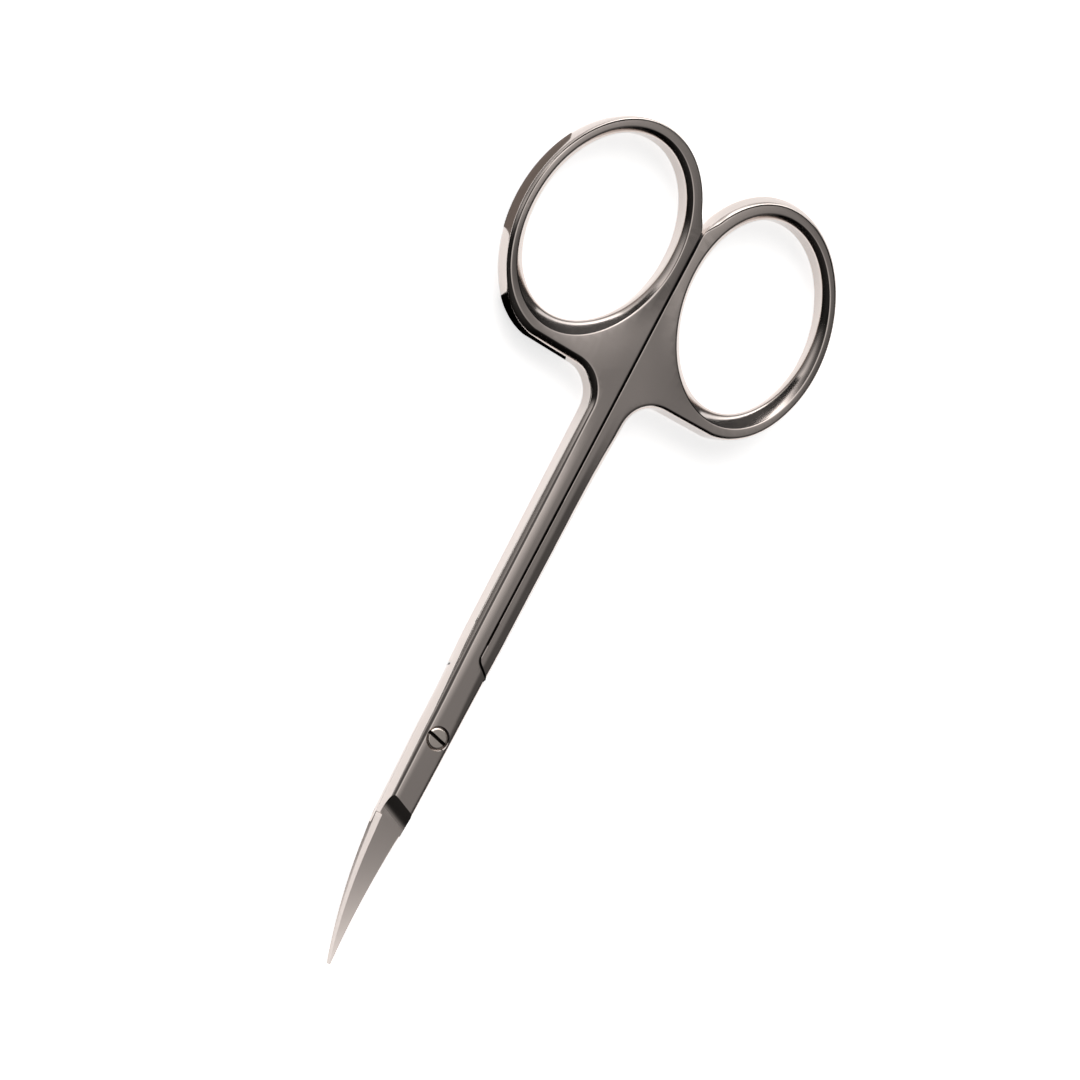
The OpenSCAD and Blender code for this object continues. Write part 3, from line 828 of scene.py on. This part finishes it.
def make_studio():
    """Soft grey room: light above and on the left, darker on the right and behind the blades."""
    world = bpy.data.worlds.new("grey_studio")
    bpy.context.scene.world = world
    world.use_nodes = True
    tree = world.node_tree
    tree.nodes.clear()
    towards = add(tree, "ShaderNodeTexCoord").outputs["Generated"]
    axes = add(tree, "ShaderNodeSeparateXYZ", links={"Vector": towards})
    ahead = add(tree, "ShaderNodeVectorMath", {"operation": "DOT_PRODUCT", 1: DARK_SIDE}, {0: towards})
    behind = add(tree, "ShaderNodeVectorMath", {"operation": "DOT_PRODUCT", 1: VIEWER}, {0: towards})
    # a value of the direction, the two numbers between which its tone changes, and its tone at each
    tones = [(axes.outputs["Y"], -0.45, 0.62, 1.25, 0.09),
             (axes.outputs["Z"], 0.1, 0.65, 0.16, 1),
             (ahead.outputs["Value"], 0.12, 0.5, 1, 0.03),
             (behind.outputs["Value"], 0.84, 0.94, 1, 0.1),
             (axes.outputs["X"], -0.9, -0.25, 3.6, 1)]
    strength = None
    for value, start, end, first, last in tones:
        tone = add(tree, "ShaderNodeMapRange",
                   {"interpolation_type": "SMOOTHSTEP", "From Min": start, "From Max": end,
                    "To Min": first, "To Max": last}, {"Value": value}).outputs["Result"]
        if strength:
            tone = add(tree, "ShaderNodeMath", {"operation": "MULTIPLY"}, {0: strength, 1: tone}).outputs[0]
        strength = tone
    room = add(tree, "ShaderNodeBackground", {"Color": linear("#FFFCFA")}, {"Strength": strength})
    # past the table's edge the picture stays white, while the steel mirrors the room
    paper = add(tree, "ShaderNodeBackground", {"Color": linear("#FFFFFF"), "Strength": 1})
    path = add(tree, "ShaderNodeLightPath")
    seen = add(tree, "ShaderNodeMixShader",
               links={0: path.outputs["Is Camera Ray"], 1: room.outputs[0], 2: paper.outputs[0]})
    add(tree, "ShaderNodeOutputWorld", links={"Surface": seen.outputs[0]})
    soft_box("back_soft_box", towards=(-0.93, -0.05, 0.42), distance=0.7, size=(0.9, 0.38), radiance=1.05)


def make_camera():
    """Long lens, aimed as in the photograph, with the picture turned as it was taken."""
    turn = Vector((1.4189, 2.4223, 0.3441))  # rotation vector in radians, from the table to the lens
    scale = 8.7492  # pixels to the millimetre at the pivot
    distance = 761.6  # millimetres from the lens to the pivot
    pivot_px = Vector((438.0, 738.8))  # place of the pivot in the picture, from its upper left corner
    frame_px = 1080  # side of the picture
    rotation = Matrix.Rotation(turn.length, 3, turn.normalized())
    data = bpy.data.cameras.new("camera")
    data.sensor_width = 36
    data.lens = scale * distance / frame_px * data.sensor_width
    nearest, furthest = 0.01, 50  # metres between which the camera sees
    data.clip_start, data.clip_end = nearest, furthest
    camera = bpy.data.objects.new("camera", data)
    bpy.context.scene.collection.objects.link(camera)
    bpy.context.scene.camera = camera
    right, down, away = (Vector(rotation[i]) for i in range(3))
    offset = (Vector((frame_px / 2, frame_px / 2)) - pivot_px) / scale
    pivot = Vector((0, 0, THICK))
    # the picture's middle looks at a point beside the pivot in the plane square to the axis
    eye = pivot - away * distance
    target = pivot + right * offset.x + down * offset.y
    forward = (target - eye).normalized()
    side = forward.cross(-down).normalized()
    up = side.cross(forward)
    camera.matrix_world = Matrix.Translation(eye * MM) @ Matrix((side, up, -forward)).transposed().to_4x4()


make_camera()
make_floor()
make_cards()
make_studio()
bpy.context.scene.view_settings.view_transform = "Standard"

front = make_front_half()
back = make_back_half()
screw = make_screw()
# the third is near-black painted shade for the walls of the gaps
finishes_and_shade = (dark_polished_steel(), ground_satin_steel(), painted_shade_steel())
for half in (front, back):
    dress_half(half, finishes_and_shade)
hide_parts("front_half")
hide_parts("back_half")
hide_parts("pivot_screw")
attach(front, "front")
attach(back, "back")
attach(screw, "back")
